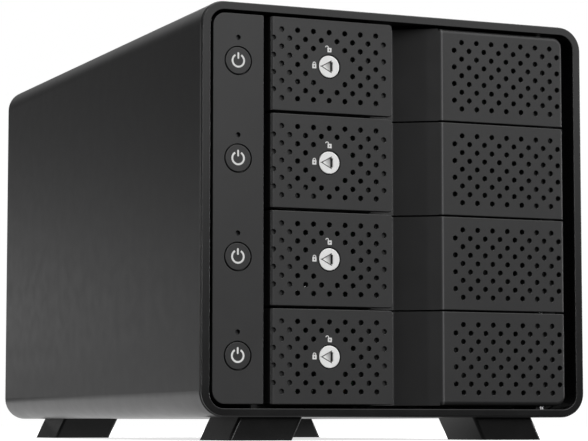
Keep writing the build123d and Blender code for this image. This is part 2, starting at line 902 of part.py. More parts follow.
# ---------------------------------------------------------------- rear panel and ports

port_x = board_x - 4.5
usb_z = 112.0
power_z = 64.0
usb_x = board_x - 1.9

with BuildPart() as rear_panel:
    with BuildSketch(across(rear_front)):
        with Locations((0, body_z)):
            RectangleRounded(
                body_width - 2 * sleeve_wall - 0.4,
                body_height - 2 * sleeve_wall - 0.4,
                corner_radius - sleeve_wall - 0.2,
            )
        with Locations((fan_x, body_z)):
            Circle(57.0, mode=Mode.SUBTRACT)
        with Locations(*boss_points, *fan_points):
            Circle(screw_radius + 0.2, mode=Mode.SUBTRACT)
        with Locations((usb_x, usb_z)):
            RectangleRounded(3.9, 9.6, 1.9, mode=Mode.SUBTRACT)
        with Locations((port_x, power_z)):
            Circle(5.1, mode=Mode.SUBTRACT)
    extrude(amount=-rear_sheet)
save(rear_panel, "rear_panel")

# The machine screws of the backplane, the control board and the rear panel
screw_rows = [
    [across(cage_rear + board_sheet), tab_spots, cage_sheet + board_sheet],
    [beside(board_x), [board_point(d, z) for d, z in standoff_spots], board_sheet + 5.0],
    [across(rear_face), boss_points, rear_sheet + 10.0],
]

with BuildPart() as machine_screws:
    for seat, spots, grip in screw_rows:
        with BuildSketch(seat):
            with Locations(*spots):
                Circle(screw_radius)
        extrude(amount=grip if seat.z_dir.Y < 0 else -grip)
        with BuildSketch(seat):
            with Locations(*spots):
                Circle(head_radius)
                RegularPolygon(socket_radius, 6, mode=Mode.SUBTRACT)
        extrude(amount=-1.9 if seat.z_dir.Y < 0 else 1.9)
save(machine_screws, "machine_screws")

with BuildPart() as usb_port:
    with BuildSketch(across(rear_front - 8.0)):
        with Locations((usb_x, usb_z)):
            RectangleRounded(3.26, 8.94, 1.6)
    extrude(amount=-10.0)
    with BuildSketch(across(rear_front - 7.0)):
        with Locations((usb_x, usb_z)):
            RectangleRounded(2.56, 8.24, 1.25)
    extrude(amount=-9.0, mode=Mode.SUBTRACT)
    with BuildSketch(across(rear_front - 7.2)):
        with Locations((usb_x, usb_z)):
            Rectangle(0.7, 6.6)
    extrude(amount=-7.6)
save(usb_port, "usb_port")

with BuildPart() as power_jack:
    with BuildSketch(across(rear_front - 13.0)):
        with Locations((port_x, power_z)):
            Rectangle(9.0, 14.0)
    extrude(amount=-13.0)
    with BuildSketch(across(rear_front)):
        with Locations((port_x, power_z)):
            Circle(4.9)
    extrude(amount=-2.2)
    with BuildSketch(across(rear_front - 9.0)):
        with Locations((port_x, power_z)):
            Circle(3.15)
            Circle(1.05, mode=Mode.SUBTRACT)
    extrude(amount=-11.2, mode=Mode.SUBTRACT)
save(power_jack, "power_jack")

# ---------------------------------------------------------------- fan

rotor_front = fan_front + 2.0
hub_front = rear_front - 6.0
hub_radius = 20.0
rotor_radius = 20.5
blade_count = 7

with BuildPart() as fan_frame:
    with BuildSketch(across(fan_front)):
        with Locations((fan_x, body_z)):
            RectangleRounded(fan_size, fan_size, 5.0)
            Circle(57.5, mode=Mode.SUBTRACT)
        with Locations(*fan_points):
            Circle(screw_radius, mode=Mode.SUBTRACT)
    extrude(amount=-fan_depth)
    # Waist between the two flanges
    with BuildSketch(across(fan_front + 4.0)):
        with Locations((fan_x, body_z)):
            Rectangle(fan_size + 2, fan_size + 2)
            Circle(59.7, mode=Mode.SUBTRACT)
    extrude(amount=-(fan_depth - 8.0), mode=Mode.SUBTRACT)
    # Motor plate on four struts, with the bearing in its middle
    with BuildSketch(across(hub_front + 2.5)):
        with Locations((fan_x, body_z)):
            Circle(hub_radius)
            for angle in (45, 135):
                Rectangle(118.0, 5.0, rotation=angle)
            Circle(59.0, mode=Mode.INTERSECT)
    extrude(amount=hub_front + 2.5 - rear_front)
    with BuildSketch(across(fan_front + 8.0)):
        with Locations((fan_x, body_z)):
            Circle(4.0)
    extrude(amount=fan_front + 8.0 - hub_front - 2.5)
    with BuildSketch(across(fan_front + 8.0)):
        with Locations((fan_x, body_z)):
            Circle(1.5 + running_gap)
    extrude(amount=-12.0, mode=Mode.SUBTRACT)
save(fan_frame, "fan_frame")

with BuildPart() as fan_rotor:
    # Cambered blades, drawn outwards from inside the hub
    for blade in range(blade_count):
        angle = 2 * math.pi * blade / blade_count
        radial = Vector(math.cos(angle), 0, math.sin(angle))
        root = Plane(
            origin=Vector(fan_x, door_face + rotor_front + 8.75, body_z) + radial * 17.0,
            x_dir=(-math.sin(angle), 0, math.cos(angle)),
            z_dir=tuple(radial),
        )
        with BuildSketch(root):
            with BuildLine():
                ThreePointArc((-11.5, -7.0), (-1.6, 2.4), (11.5, 7.0))
            trace(line_width=1.6)
        extrude(amount=42.0)
    with BuildSketch(across(rotor_front)):
        with Locations((fan_x, body_z)):
            Circle(55.5)
            Circle(rotor_radius - 1.0, mode=Mode.SUBTRACT)
    extrude(amount=-17.5, mode=Mode.INTERSECT)
    with BuildSketch(across(rotor_front - 1.0)):
        with Locations((fan_x, body_z)):
            Circle(rotor_radius)
    extrude(amount=-18.0)
    fillet(fan_rotor.faces().sort_by(Axis.Y)[0].edges(), 1.5)
    with BuildSketch(across(rotor_front + 1.2)):
        with Locations((fan_x, body_z)):
            Circle(rotor_radius - 1.6)
            Circle(1.5, mode=Mode.SUBTRACT)
    extrude(amount=-20.0, mode=Mode.SUBTRACT)
save(fan_rotor, "fan_rotor")

with BuildPart() as fan_guard:
    with BuildSketch(across(rear_face)):
        with Locations((fan_x, body_z)):
            for radius in (56.0, 47.0, 38.0, 29.0, 20.0):
                Circle(radius + 0.8)
                Circle(radius - 0.8, mode=Mode.SUBTRACT)
            for angle in (45, 135):
                Rectangle(fan_screw_pitch * math.sqrt(2), 1.6, rotation=angle)
        with Locations(*fan_points):
            Circle(3.6)
        with Locations(*fan_points):
            Circle(screw_radius + 0.2, mode=Mode.SUBTRACT)
    extrude(amount=-1.5)
save(fan_guard, "fan_guard")

with BuildPart() as fan_screws:
    with BuildSketch(across(rear_front - 4.0)):
        with Locations(*fan_points):
            Circle(screw_radius)
    extrude(amount=-(4.0 + rear_sheet + 1.5))
    with BuildSketch(across(rear_face + 1.5)):
        with Locations(*fan_points):
            Circle(3.2)
            RegularPolygon(1.4, 6, mode=Mode.SUBTRACT)
    extrude(amount=-1.6)
save(fan_screws, "fan_screws")

lead_depth = fan_front + 2.0
lead_z = 40.0

# Sockets on the control board for the backplane, the button flex and the fan
with BuildPart() as board_sockets:
    backplane_edge = bay_x - 61.7
    with BuildSketch(beside(backplane_edge)):
        with Locations(board_point(cage_rear, 85.0)):
            Rectangle(8.0, 50.0)
    extrude(amount=backplane_edge - board_x - board_sheet)
    with BuildSketch(beside(board_x)):
        with Locations(board_point(114.5, stack_z)):
            Rectangle(5.0, 16.0)
    extrude(amount=2.2)
    with BuildSketch(beside(board_x + board_sheet)):
        with Locations(board_point(lead_depth, lead_z)):
            Rectangle(6.0, 10.0)
    extrude(amount=-7.0)
save(board_sockets, "board_sockets")

with BuildPart() as fan_lead:
    with BuildSketch(beside(fan_x - fan_size / 2)):
        with Locations(board_point(lead_depth, lead_z)):
            Circle(1.3)
    extrude(amount=fan_x - fan_size / 2 - board_x - board_sheet - 7.0)
save(fan_lead, "fan_lead")
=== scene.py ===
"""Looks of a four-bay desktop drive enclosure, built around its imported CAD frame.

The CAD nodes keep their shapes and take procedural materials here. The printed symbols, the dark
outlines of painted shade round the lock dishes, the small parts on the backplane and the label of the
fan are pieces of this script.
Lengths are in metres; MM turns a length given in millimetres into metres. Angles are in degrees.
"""

import bmesh
import bpy
import json
import math
from mathutils import Matrix, Vector


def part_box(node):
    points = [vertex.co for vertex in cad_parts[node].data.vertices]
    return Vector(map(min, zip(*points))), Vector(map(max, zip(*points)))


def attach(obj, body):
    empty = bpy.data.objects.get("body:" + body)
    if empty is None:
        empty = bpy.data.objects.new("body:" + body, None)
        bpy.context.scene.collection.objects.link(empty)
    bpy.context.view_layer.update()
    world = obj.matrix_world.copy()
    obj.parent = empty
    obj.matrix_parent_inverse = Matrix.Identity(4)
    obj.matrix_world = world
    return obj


MM = 0.001
BAYS = (1, 2, 3, 4)

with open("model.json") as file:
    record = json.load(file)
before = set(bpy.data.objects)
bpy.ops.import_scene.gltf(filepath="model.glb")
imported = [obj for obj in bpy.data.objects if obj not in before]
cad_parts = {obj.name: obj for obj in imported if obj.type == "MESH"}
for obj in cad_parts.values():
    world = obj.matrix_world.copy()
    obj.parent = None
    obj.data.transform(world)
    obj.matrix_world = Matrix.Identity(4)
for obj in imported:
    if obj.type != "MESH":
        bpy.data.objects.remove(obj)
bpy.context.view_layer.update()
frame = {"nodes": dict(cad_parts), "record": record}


# ---------------------------------------------------------------- nodes of materials

NOISE_LOW, NOISE_HIGH = 0.3, 0.7
PLAIN_SPECULAR = 0.5


def start_material(name, base, roughness, metallic=0.0, specular=PLAIN_SPECULAR):
    """A material with its principled shader; numbers that are the same all over sit on the shader."""
    made = bpy.data.materials.new(name)
    made.use_nodes = True
    shader = made.node_tree.nodes["Principled BSDF"]
    shader.inputs["Base Color"].default_value = (*base, 1.0)
    shader.inputs["Roughness"].default_value = roughness
    shader.inputs["Metallic"].default_value = metallic
    shader.inputs["Specular IOR Level"].default_value = specular
    return made, shader


def own_place(tree):
    """The piece's own coordinates, in metres."""
    return tree.nodes.new("ShaderNodeTexCoord").outputs["Object"]


def axes_of(tree, place):
    """The X, Y and Z numbers of a place."""
    way = tree.nodes.new("ShaderNodeSeparateXYZ")
    tree.links.new(place, way.inputs["Vector"])
    return way.outputs


def noise(made, scale, detail=3.0, stretch=(1, 1, 1)):
    """Noise over the piece's own coordinates, scale in cells per metre."""
    nodes, links = made.node_tree.nodes, made.node_tree.links
    mapping = nodes.new("ShaderNodeMapping")
    mapping.inputs["Scale"].default_value = stretch
    texture = nodes.new("ShaderNodeTexNoise")
    texture.inputs["Scale"].default_value = scale
    texture.inputs["Detail"].default_value = detail
    links.new(own_place(made.node_tree), mapping.inputs["Vector"])
    links.new(mapping.outputs["Vector"], texture.inputs["Vector"])
    return texture.outputs["Fac"]


def vary_colour(made, shader, value, low, high):
    """Base colour between two colours, over the middle of a noise's range."""
    nodes, links = made.node_tree.nodes, made.node_tree.links
    ramp = nodes.new("ShaderNodeValToRGB")
    ramp.color_ramp.elements[0].position = NOISE_LOW
    ramp.color_ramp.elements[1].position = NOISE_HIGH
    ramp.color_ramp.elements[0].color = (*low, 1.0)
    ramp.color_ramp.elements[1].color = (*high, 1.0)
    links.new(value, ramp.inputs["Fac"])
    links.new(ramp.outputs["Color"], shader.inputs["Base Color"])


def vary_roughness(made, shader, value, low, high):
    """Roughness between two numbers, over the middle of a noise's range."""
    nodes, links = made.node_tree.nodes, made.node_tree.links
    span = nodes.new("ShaderNodeMapRange")
    span.inputs["From Min"].default_value = NOISE_LOW
    span.inputs["From Max"].default_value = NOISE_HIGH
    span.inputs["To Min"].default_value = low
    span.inputs["To Max"].default_value = high
    links.new(value, span.inputs["Value"])
    links.new(span.outputs["Result"], shader.inputs["Roughness"])


def add_bump(made, shader, value, height, strength):
    """Bump of a height in metres."""
    nodes, links = made.node_tree.nodes, made.node_tree.links
    bump = nodes.new("ShaderNodeBump")
    bump.inputs["Strength"].default_value = strength
    bump.inputs["Distance"].default_value = height
    links.new(value, bump.inputs["Height"])
    links.new(bump.outputs["Normal"], shader.inputs["Normal"])


# ---------------------------------------------------------------- materials

CLOUD_SCALE, GLOSS_SCALE = 60, 140
GLOSS_SPREAD, GRAIN_STRENGTH = 0.02, 0.4


def grained(name, base, roughness, spread=0.12, grain=3500, height=0.02 * MM, **more):
    """Moulded or painted surface: faint cloudy colour, uneven gloss and a fine grain."""
    made, shader = start_material(name, base, roughness, **more)
    low = tuple(c * (1 - spread) for c in base)
    high = tuple(c * (1 + spread) for c in base)
    gloss = noise(made, GLOSS_SCALE)
    vary_colour(made, shader, noise(made, CLOUD_SCALE, detail=4), low, high)
    vary_roughness(made, shader, gloss, roughness - GLOSS_SPREAD, roughness + GLOSS_SPREAD)
    add_bump(made, shader, noise(made, grain, detail=2), height, GRAIN_STRENGTH)
    return made


TARNISH = 0.85
SCRATCH_SPREAD, SCRATCH_HEIGHT, SCRATCH_STRENGTH = 0.08, 0.004 * MM, 0.5


def brushed(name, base, roughness, stretch):
    """Metal with fine parallel scratches across the stretched axis."""
    made, shader = start_material(name, base, roughness, metallic=1.0)
    low = tuple(c * TARNISH for c in base)
    gloss = noise(made, scale=700, stretch=stretch)
    scratches = noise(made, scale=900, detail=2, stretch=stretch)
    vary_colour(made, shader, noise(made, scale=90), low, base)
    vary_roughness(made, shader, gloss, roughness - SCRATCH_SPREAD, roughness + SCRATCH_SPREAD)
    add_bump(made, shader, scratches, SCRATCH_HEIGHT, SCRATCH_STRENGTH)
    return made


MASK_GREEN, MASK_LIGHT, MASK_SHADE = (0.012, 0.075, 0.03), (0.012, 0.07, 0.03), (0.010, 0.06, 0.026)
TRACK_GREEN, TRACK_WIDTH, TRACK_HEIGHT = (0.03, 0.13, 0.05), 0.025, 0.03 * MM


def circuit_board(name):
    """Green solder mask with raised tracks under it."""
    made, shader = start_material(name, MASK_GREEN, roughness=0.32)
    nodes, links = made.node_tree.nodes, made.node_tree.links
    tracks = nodes.new("ShaderNodeTexBrick")
    tracks.inputs["Scale"].default_value = 260
    tracks.inputs["Mortar Size"].default_value = TRACK_WIDTH
    for socket, colour in (("Color1", MASK_LIGHT), ("Color2", MASK_SHADE), ("Mortar", TRACK_GREEN)):
        tracks.inputs[socket].default_value = (*colour, 1)
    upright = nodes.new("ShaderNodeMapping")
    upright.inputs["Rotation"].default_value = (math.pi / 2, 0, 0)
    links.new(own_place(made.node_tree), upright.inputs["Vector"])
    links.new(upright.outputs["Vector"], tracks.inputs["Vector"])
    links.new(tracks.outputs["Color"], shader.inputs["Base Color"])
    vary_roughness(made, shader, noise(made, scale=300), low=0.27, high=0.4)
    add_bump(made, shader, tracks.outputs["Fac"], TRACK_HEIGHT, strength=0.5)
    return made


PIPE_GREY, PIPE_DARK, PIPE_LIGHT = (0.02, 0.02, 0.022), (0.014, 0.014, 0.016), (0.026, 0.026, 0.03)


def light_pipe(name):
    """Smoked clear plastic."""
    made, shader = start_material(name, PIPE_GREY, roughness=0.18)
    vary_colour(made, shader, noise(made, scale=200), PIPE_DARK, PIPE_LIGHT)
    vary_roughness(made, shader, noise(made, scale=400), low=0.14, high=0.24)
    add_bump(made, shader, noise(made, scale=900), height=0.004 * MM, strength=0.3)
    return made


DOOR_GREY, DOOR_ROUGHNESS = (0.0150, 0.0150, 0.0154), 0.44
# Painted highlight of the crease: how far past the grille's edge it sits, how far it fades, and its
# colour
CREASE_LIP, CREASE_HIGHLIGHT_REACH = 1.2 * MM, 0.55 * MM
CREASE_HIGHLIGHT_GREY = (0.100, 0.100, 0.102)


def door_plastic(name):
    """Moulded black of the doors, with a painted highlight: a lighter line along the crease beside the
    finger recess.
    """
    made = grained(name, DOOR_GREY, DOOR_ROUGHNESS)
    nodes, links = made.node_tree.nodes, made.node_tree.links
    base = nodes["Principled BSDF"].inputs["Base Color"]
    # Painted highlight: the base colour turns lighter near the crease, where the crease's fillet would
    # catch light
    offset = nodes.new("ShaderNodeMath")
    offset.operation = "SUBTRACT"
    offset.inputs[1].default_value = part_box("door_grille_1")[0].x + CREASE_LIP
    distance = nodes.new("ShaderNodeMath")
    distance.operation = "ABSOLUTE"
    fade = nodes.new("ShaderNodeMapRange")
    fade.inputs["From Max"].default_value = CREASE_HIGHLIGHT_REACH
    fade.inputs["To Min"].default_value = 1.0
    fade.inputs["To Max"].default_value = 0.0
    tone = nodes.new("ShaderNodeMix")
    tone.data_type = "RGBA"
    tone.inputs["B"].default_value = (*CREASE_HIGHLIGHT_GREY, 1)
    links.new(base.links[0].from_socket, tone.inputs["A"])
    links.new(axes_of(made.node_tree, own_place(made.node_tree))["X"], offset.inputs[0])
    links.new(offset.outputs["Value"], distance.inputs[0])
    links.new(distance.outputs["Value"], fade.inputs["Value"])
    links.new(fade.outputs["Result"], tone.inputs["Factor"])
    links.new(tone.outputs["Result"], base)
    return made


# Colours and depths of the lock cap's painted shade
LOCK_WHITE, LOCK_DEEP_SHADE = (0.92, 0.92, 0.91), (0.012, 0.012, 0.012)
WHITE_DEPTH, DARK_DEPTH = 0.25 * MM, 1.3 * MM
DEEPEST_SHADE, GRIME = 0.9, 0.03


def lock_face(name):
    """Satin white cap of a lock, with painted shade: its colour darkens with depth to near black in its
    keyway and barrel.
    """
    made, shader = start_material(name, LOCK_WHITE, roughness=0.40)
    nodes, links = made.node_tree.nodes, made.node_tree.links
    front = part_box("lock_rotor_1")[0].y
    # Painted shade: the colour darkens with depth into the dish, keyway and barrel, plus a faint noise of
    # grime
    depth = nodes.new("ShaderNodeMapRange")
    depth.inputs["From Min"].default_value = front + WHITE_DEPTH
    depth.inputs["From Max"].default_value = front + DARK_DEPTH
    depth.inputs["To Max"].default_value = DEEPEST_SHADE
    grime_and_depth_shade = nodes.new("ShaderNodeMath")
    grime_and_depth_shade.operation = "MULTIPLY_ADD"
    grime_and_depth_shade.inputs[1].default_value = GRIME
    tone = nodes.new("ShaderNodeMix")
    tone.data_type = "RGBA"
    tone.inputs["A"].default_value = (*LOCK_WHITE, 1)
    tone.inputs["B"].default_value = (*LOCK_DEEP_SHADE, 1)
    links.new(axes_of(made.node_tree, own_place(made.node_tree))["Y"], depth.inputs["Value"])
    links.new(noise(made, scale=900), grime_and_depth_shade.inputs[0])
    links.new(depth.outputs["Result"], grime_and_depth_shade.inputs[2])
    links.new(grime_and_depth_shade.outputs["Value"], tone.inputs["Factor"])
    links.new(tone.outputs["Result"], shader.inputs["Base Color"])
    vary_roughness(made, shader, noise(made, scale=500), low=0.36, high=0.44)
    add_bump(made, shader, noise(made, scale=3500, detail=2), height=0.01 * MM, strength=0.3)
    return made


GRAINED = {
    "front_plastic": dict(base=(0.0145, 0.0145, 0.0149), roughness=0.42),
    "frame_plastic": dict(base=(0.0050, 0.0050, 0.0052), roughness=0.20, height=0.003 * MM),
    "inner_plastic": dict(base=(0.012, 0.012, 0.0125), roughness=0.55),
    "sleeve_paint": dict(
        base=(0.0090, 0.0090, 0.0093), roughness=0.31, spread=0.06, grain=9000, height=0.0015 * MM
    ),
    "panel_paint": dict(base=(0.016, 0.016, 0.0165), roughness=0.48, grain=2200),
    "foot_rubber": dict(
        base=(0.0025, 0.0025, 0.0026), roughness=0.24, grain=2600, height=0.003 * MM, specular=0.35
    ),
    "cage_steel": dict(base=(0.42, 0.43, 0.44), roughness=0.38, metallic=1.0, grain=900),
    "guard_steel": dict(base=(0.030, 0.030, 0.031), roughness=0.40, grain=1800),
    "socket_plastic": dict(base=(0.020, 0.020, 0.021), roughness=0.50),
    "fan_plastic": dict(base=(0.017, 0.017, 0.018), roughness=0.40),
    "flex_film": dict(base=(0.55, 0.24, 0.05), roughness=0.35, grain=900),
    "lead_sleeve": dict(base=(0.02, 0.02, 0.021), roughness=0.45, grain=1500),
    "print_white": dict(base=(0.78, 0.78, 0.77), roughness=0.50, spread=0.03),
    "print_and_shade_dark": dict(base=(0.012, 0.012, 0.012), roughness=0.50),
    "ceramic": dict(base=(0.30, 0.20, 0.12), roughness=0.45, spread=0.2, grain=2500),
    "tantalum": dict(base=(0.14, 0.07, 0.012), roughness=0.40, spread=0.1, grain=2500),
    "label_silver": dict(
        base=(0.55, 0.56, 0.57), roughness=0.35, metallic=0.6, grain=1500, height=0.005 * MM
    ),
}
BRUSHED = {
    "bright_steel": dict(base=(0.72, 0.72, 0.73), roughness=0.25, stretch=(1, 1, 12)),
    "screw_steel": dict(base=(0.10, 0.10, 0.105), roughness=0.38, stretch=(1, 6, 1)),
    "heatsink_aluminium": dict(base=(0.62, 0.63, 0.65), roughness=0.34, stretch=(8, 1, 1)),
    "capacitor_aluminium": dict(base=(0.70, 0.71, 0.73), roughness=0.28, stretch=(10, 1, 1)),
}
MATERIALS = {
    "door_plastic": door_plastic("door_plastic"),
    "lock_ivory": lock_face("lock_ivory"),
    "circuit_board": circuit_board("circuit_board"),
    "light_pipe": light_pipe("light_pipe"),
}
MATERIALS |= {name: grained(name, **look) for name, look in GRAINED.items()}
MATERIALS |= {name: brushed(name, **look) for name, look in BRUSHED.items()}


def dress_frame():
    """Give every CAD node the material of its slot."""
    for part in frame["record"]["subparts"]:
        node = frame["nodes"][part["node"]]
        node.data.materials.clear()
        node.data.materials.append(MATERIALS[part["material_slot"]])


# ---------------------------------------------------------------- meshes of flat prints and painted shade

END_POINTS, CORNER_POINTS = 9, 6
MERGE_DISTANCE = 1e-8


def arc(centre, radius, start, end, count):
    """Points on an arc, angles from +X towards +Z."""
    turns = [math.radians(start + (end - start) * n / (count - 1)) for n in range(count)]
    return [(centre[0] + radius * math.cos(t), centre[1] + radius * math.sin(t)) for t in turns]


def circle(centre, radius, count):
    """Points evenly round a circle."""
    return arc(centre, radius, 0, 360, count + 1)[:-1]


def rounded_square(centre, half, corner):
    """Outline of a square with rounded corners."""
    points = []
    for quarter in range(4):
        turn = math.radians(45 + 90 * quarter)
        reach = (half - corner) * math.sqrt(2)
        pivot = (centre[0] + reach * math.cos(turn), centre[1] + reach * math.sin(turn))
        points += arc(pivot, corner, 90 * quarter, 90 * quarter + 90, CORNER_POINTS)
    return points


def add_band(build, outer, inner, front, thickness, closed=True):
    """A flat band between two lines of (x, z) points, from front backwards by thickness."""
    layers = []
    for y in (front, front + thickness):
        layers.append([[build.verts.new((x, y, z)) for x, z in line] for line in (outer, inner)])
    count = len(outer)
    spans = range(count if closed else count - 1)
    (front_out, front_in), (back_out, back_in) = layers
    for n in spans:
        m = (n + 1) % count
        build.faces.new((front_out[n], front_out[m], front_in[m], front_in[n]))
        build.faces.new((back_out[m], back_out[n], back_in[n], back_in[m]))
        build.faces.new((front_out[m], front_out[n], back_out[n], back_out[m]))
        build.faces.new((front_in[n], front_in[m], back_in[m], back_in[n]))
    if not closed:
        for n in (0, count - 1):
            build.faces.new((front_out[n], front_in[n], back_in[n], back_out[n]))


def add_disc(build, outline, front, thickness):
    """A flat closed plate with a convex outline."""
    front_ring = [build.verts.new((x, front, z)) for x, z in outline]
    back_ring = [build.verts.new((x, front + thickness, z)) for x, z in outline]
    build.faces.new(front_ring)
    build.faces.new(list(reversed(back_ring)))
    for n in range(len(outline)):
        m = (n + 1) % len(outline)
        build.faces.new((front_ring[m], front_ring[n], back_ring[n], back_ring[m]))


def add_stroke(build, start, end, width, front, thickness):
    """A straight printed stroke with round ends: a rim round a core half its size."""
    direction = math.degrees(math.atan2(end[1] - start[1], end[0] - start[0]))
    outline = arc(end, width / 2, direction - 90, direction + 90, END_POINTS)
    outline += arc(start, width / 2, direction + 90, direction + 270, END_POINTS)
    middle = ((start[0] + end[0]) / 2, (start[1] + end[1]) / 2)
    core = [tuple(0.5 * a + 0.5 * b for a, b in zip(point, middle)) for point in outline]
    add_band(build, outline, core, front, thickness)
    add_disc(build, core, front, thickness)


def finish_piece(name, build, body, slot, material=None):
    """Turn a bmesh into a piece that rides on a body; its material is its slot's unless named."""
    bmesh.ops.remove_doubles(build, verts=build.verts, dist=MERGE_DISTANCE)
    bmesh.ops.recalc_face_normals(build, faces=build.faces)
    mesh = bpy.data.meshes.new(name)
    build.to_mesh(mesh)
    build.free()
    mesh.materials.append(MATERIALS[material or slot])
    piece = bpy.data.objects.new(name, mesh)
    bpy.context.scene.collection.objects.link(piece)
    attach(piece, body)


# ---------------------------------------------------------------- printed symbols and painted shade round the lock dishes

PRINT_AND_SHADE_THICKNESS = 0.03 * MM
LOCK_RADIUS = 4.15 * MM


def middle_of(node):
    """Centre of a CAD node's box, and its front."""
    low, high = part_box(node)
    return (low + high) / 2, low.y


def lock_place(number):
    """Axis of a lock as (x, z), and the front of its cap; its cam arm reaches past it on the left."""
    low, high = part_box(f"lock_rotor_{number}")
    return (high.x - LOCK_RADIUS, (low.z + high.z) / 2), low.y


POWER_RADIUS, POWER_WIDTH, POWER_GAP, POWER_POINTS = 2.28 * MM, 0.72 * MM, 30, 49
BAR_FOOT, BAR_TOP, BAR_WIDTH = 0.95 * MM, 2.75 * MM, 0.7 * MM


def power_symbol(number):
    """Ring with a gap at the top and a bar in the gap, printed on a power button."""
    centre, front = middle_of(f"power_button_{number}")
    front -= PRINT_AND_SHADE_THICKNESS
    middle = (centre.x, centre.z)
    outer, inner = [
        arc(middle, POWER_RADIUS + side * POWER_WIDTH / 2, 90 + POWER_GAP, 450 - POWER_GAP, POWER_POINTS)
        for side in (1, -1)
    ]
    foot, top = [(middle[0], middle[1] + rise) for rise in (BAR_FOOT, BAR_TOP)]
    build = bmesh.new()
    add_band(build, outer, inner, front, PRINT_AND_SHADE_THICKNESS, closed=False)
    add_stroke(build, foot, top, BAR_WIDTH, front, PRINT_AND_SHADE_THICKNESS)
    finish_piece(f"power_symbol_{number}", build, f"button_{number}", "lock_ivory", "print_white")


PADLOCK_HALF, PADLOCK_CORNER, KEYHOLE_RADIUS = 0.84 * MM, 0.22 * MM, 0.27 * MM
SHACKLE_RADIUS, SHACKLE_WIDTH, SHACKLE_RISE = 0.52 * MM, 0.34 * MM, 0.15 * MM
SHACKLE_POINTS, FREE_END_LIFT = 13, 0.12 * MM


def padlock(name, body, centre, front, opened):
    """Padlock symbol: a square with a keyhole dot, and a shackle that is closed or swung open."""
    front -= PRINT_AND_SHADE_THICKNESS
    build = bmesh.new()
    outline = rounded_square(centre, PADLOCK_HALF, PADLOCK_CORNER)
    add_band(build, outline, circle(centre, KEYHOLE_RADIUS, len(outline)), front, PRINT_AND_SHADE_THICKNESS)
    top = centre[1] + PADLOCK_HALF
    shackle_x = centre[0] - (2 * SHACKLE_RADIUS if opened else 0)
    lines = []
    for reach in (SHACKLE_RADIUS + SHACKLE_WIDTH / 2, SHACKLE_RADIUS - SHACKLE_WIDTH / 2):
        lines.append(
            [(shackle_x + reach, top)]
            + arc((shackle_x, top + SHACKLE_RISE), reach, 0, 180, SHACKLE_POINTS)
            + [(shackle_x - reach, top + (FREE_END_LIFT if opened else 0))]
        )
    add_band(build, *lines, front, PRINT_AND_SHADE_THICKNESS, closed=False)
    finish_piece(name, build, body, "lock_ivory", "print_white")


# Sizes of the painted shade round the dish's mouth, and of the printed index dash
DISH_TIP, DISH_END, DISH_HALF = 2.8 * MM, 0.9 * MM, 2.1 * MM
MARK_WIDTH, TIP_SHARE, END_SHARE, SIDE_SHARE = 0.28 * MM, 2.4, 0.2, 1.1
DASH_START, DASH_END, DASH_WIDTH = 3.55 * MM, 3.15 * MM, 0.22 * MM


def lock_shade_and_dash(number):
    """Thin dark outline of the lock's dish, painted shade at its mouth, and a printed index dash at its
    left tip.
    """
    (axis_x, axis_z), front = lock_place(number)
    front -= PRINT_AND_SHADE_THICKNESS
    tip, end = axis_x - DISH_TIP, axis_x + DISH_END
    inner = [(tip, axis_z), (end, axis_z + DISH_HALF), (end, axis_z - DISH_HALF)]
    outer = [
        (tip - TIP_SHARE * MARK_WIDTH, axis_z),
        (end + END_SHARE * MARK_WIDTH, axis_z + DISH_HALF + SIDE_SHARE * MARK_WIDTH),
        (end + END_SHARE * MARK_WIDTH, axis_z - DISH_HALF - SIDE_SHARE * MARK_WIDTH),
    ]
    dash_start, dash_end = [(axis_x - reach, axis_z) for reach in (DASH_START, DASH_END)]
    build = bmesh.new()
    # Painted shade: a dark band round the mouth of the dish
    add_band(build, outer, inner, front, PRINT_AND_SHADE_THICKNESS)
    add_stroke(build, dash_start, dash_end, DASH_WIDTH, front, PRINT_AND_SHADE_THICKNESS)
    finish_piece(f"lock_shade_and_dash_{number}", build, f"lock_{number}", "door_plastic", "print_and_shade_dark")


CLOSED_OFFSET, OPEN_OFFSET = (-6.1 * MM, -0.15 * MM), (0.1 * MM, 6.25 * MM)


def print_symbols(number):
    """The printed symbols of one bay, and the painted shade round its lock's dish."""
    power_symbol(number)
    lock_shade_and_dash(number)
    axis, front = lock_place(number)
    for state, offset in (("closed", CLOSED_OFFSET), ("open", OPEN_OFFSET)):
        centre = (axis[0] + offset[0], axis[1] + offset[1])
        padlock(f"{state}_padlock_{number}", f"lever_body_{number}", centre, front, state == "open")


# ---------------------------------------------------------------- parts on the backplane

BLOCK_BEVEL = 0.08 * MM
# A row lies this far under its bay's middle; its chip is offset from the board's middle, its first
# capacitor from the chip, and its can from that capacitor
ROW_DROP, CHIP_OFFSET, CAPACITOR_OFFSET, CAN_OFFSET = 10.5 * MM, 14 * MM, 6.0 * MM, 3.9 * MM
CHIP_LENGTH, CHIP_WIDTH, CHIP_HEIGHT = 5.0 * MM, 4.0 * MM, 1.5 * MM
PIN_PITCH, PIN_WIDTH, PIN_REACH, PIN_HEIGHT = 1.27 * MM, 0.45 * MM, 1.0 * MM, 0.3 * MM
PINS_PER_SIDE, PIN_OVERLAP = 4, 0.8
CAPACITOR_SIZE = (2.0 * MM, 1.25 * MM, 0.9 * MM)
CAPACITOR_PITCH, CAPACITOR_RISE, CAPACITOR_COUNT = 3.6 * MM, 1.6 * MM, 5
SOLDER_REACH, SOLDER_LENGTH, SOLDER_GIRTH = 0.42, 0.3, 1.04
TANTALUM_SIZE = (4.2 * MM, 3.0 * MM, 2.2 * MM)
TANTALUM_START, TANTALUM_STEP = 5.4, 1.6
# The lower edge of a bay's air slot lies this far under the bay's middle, and the can hangs over it
SLOT_DROP = 1.5 * MM
CAN_RADIUS, CAN_HEIGHT, CAN_OVERHANG, CAN_POINTS = 3.15 * MM, 7.0 * MM, 0.4 * MM, 48
CAN_BASE = (6.3 * MM, 5.9 * MM, 1.0 * MM)
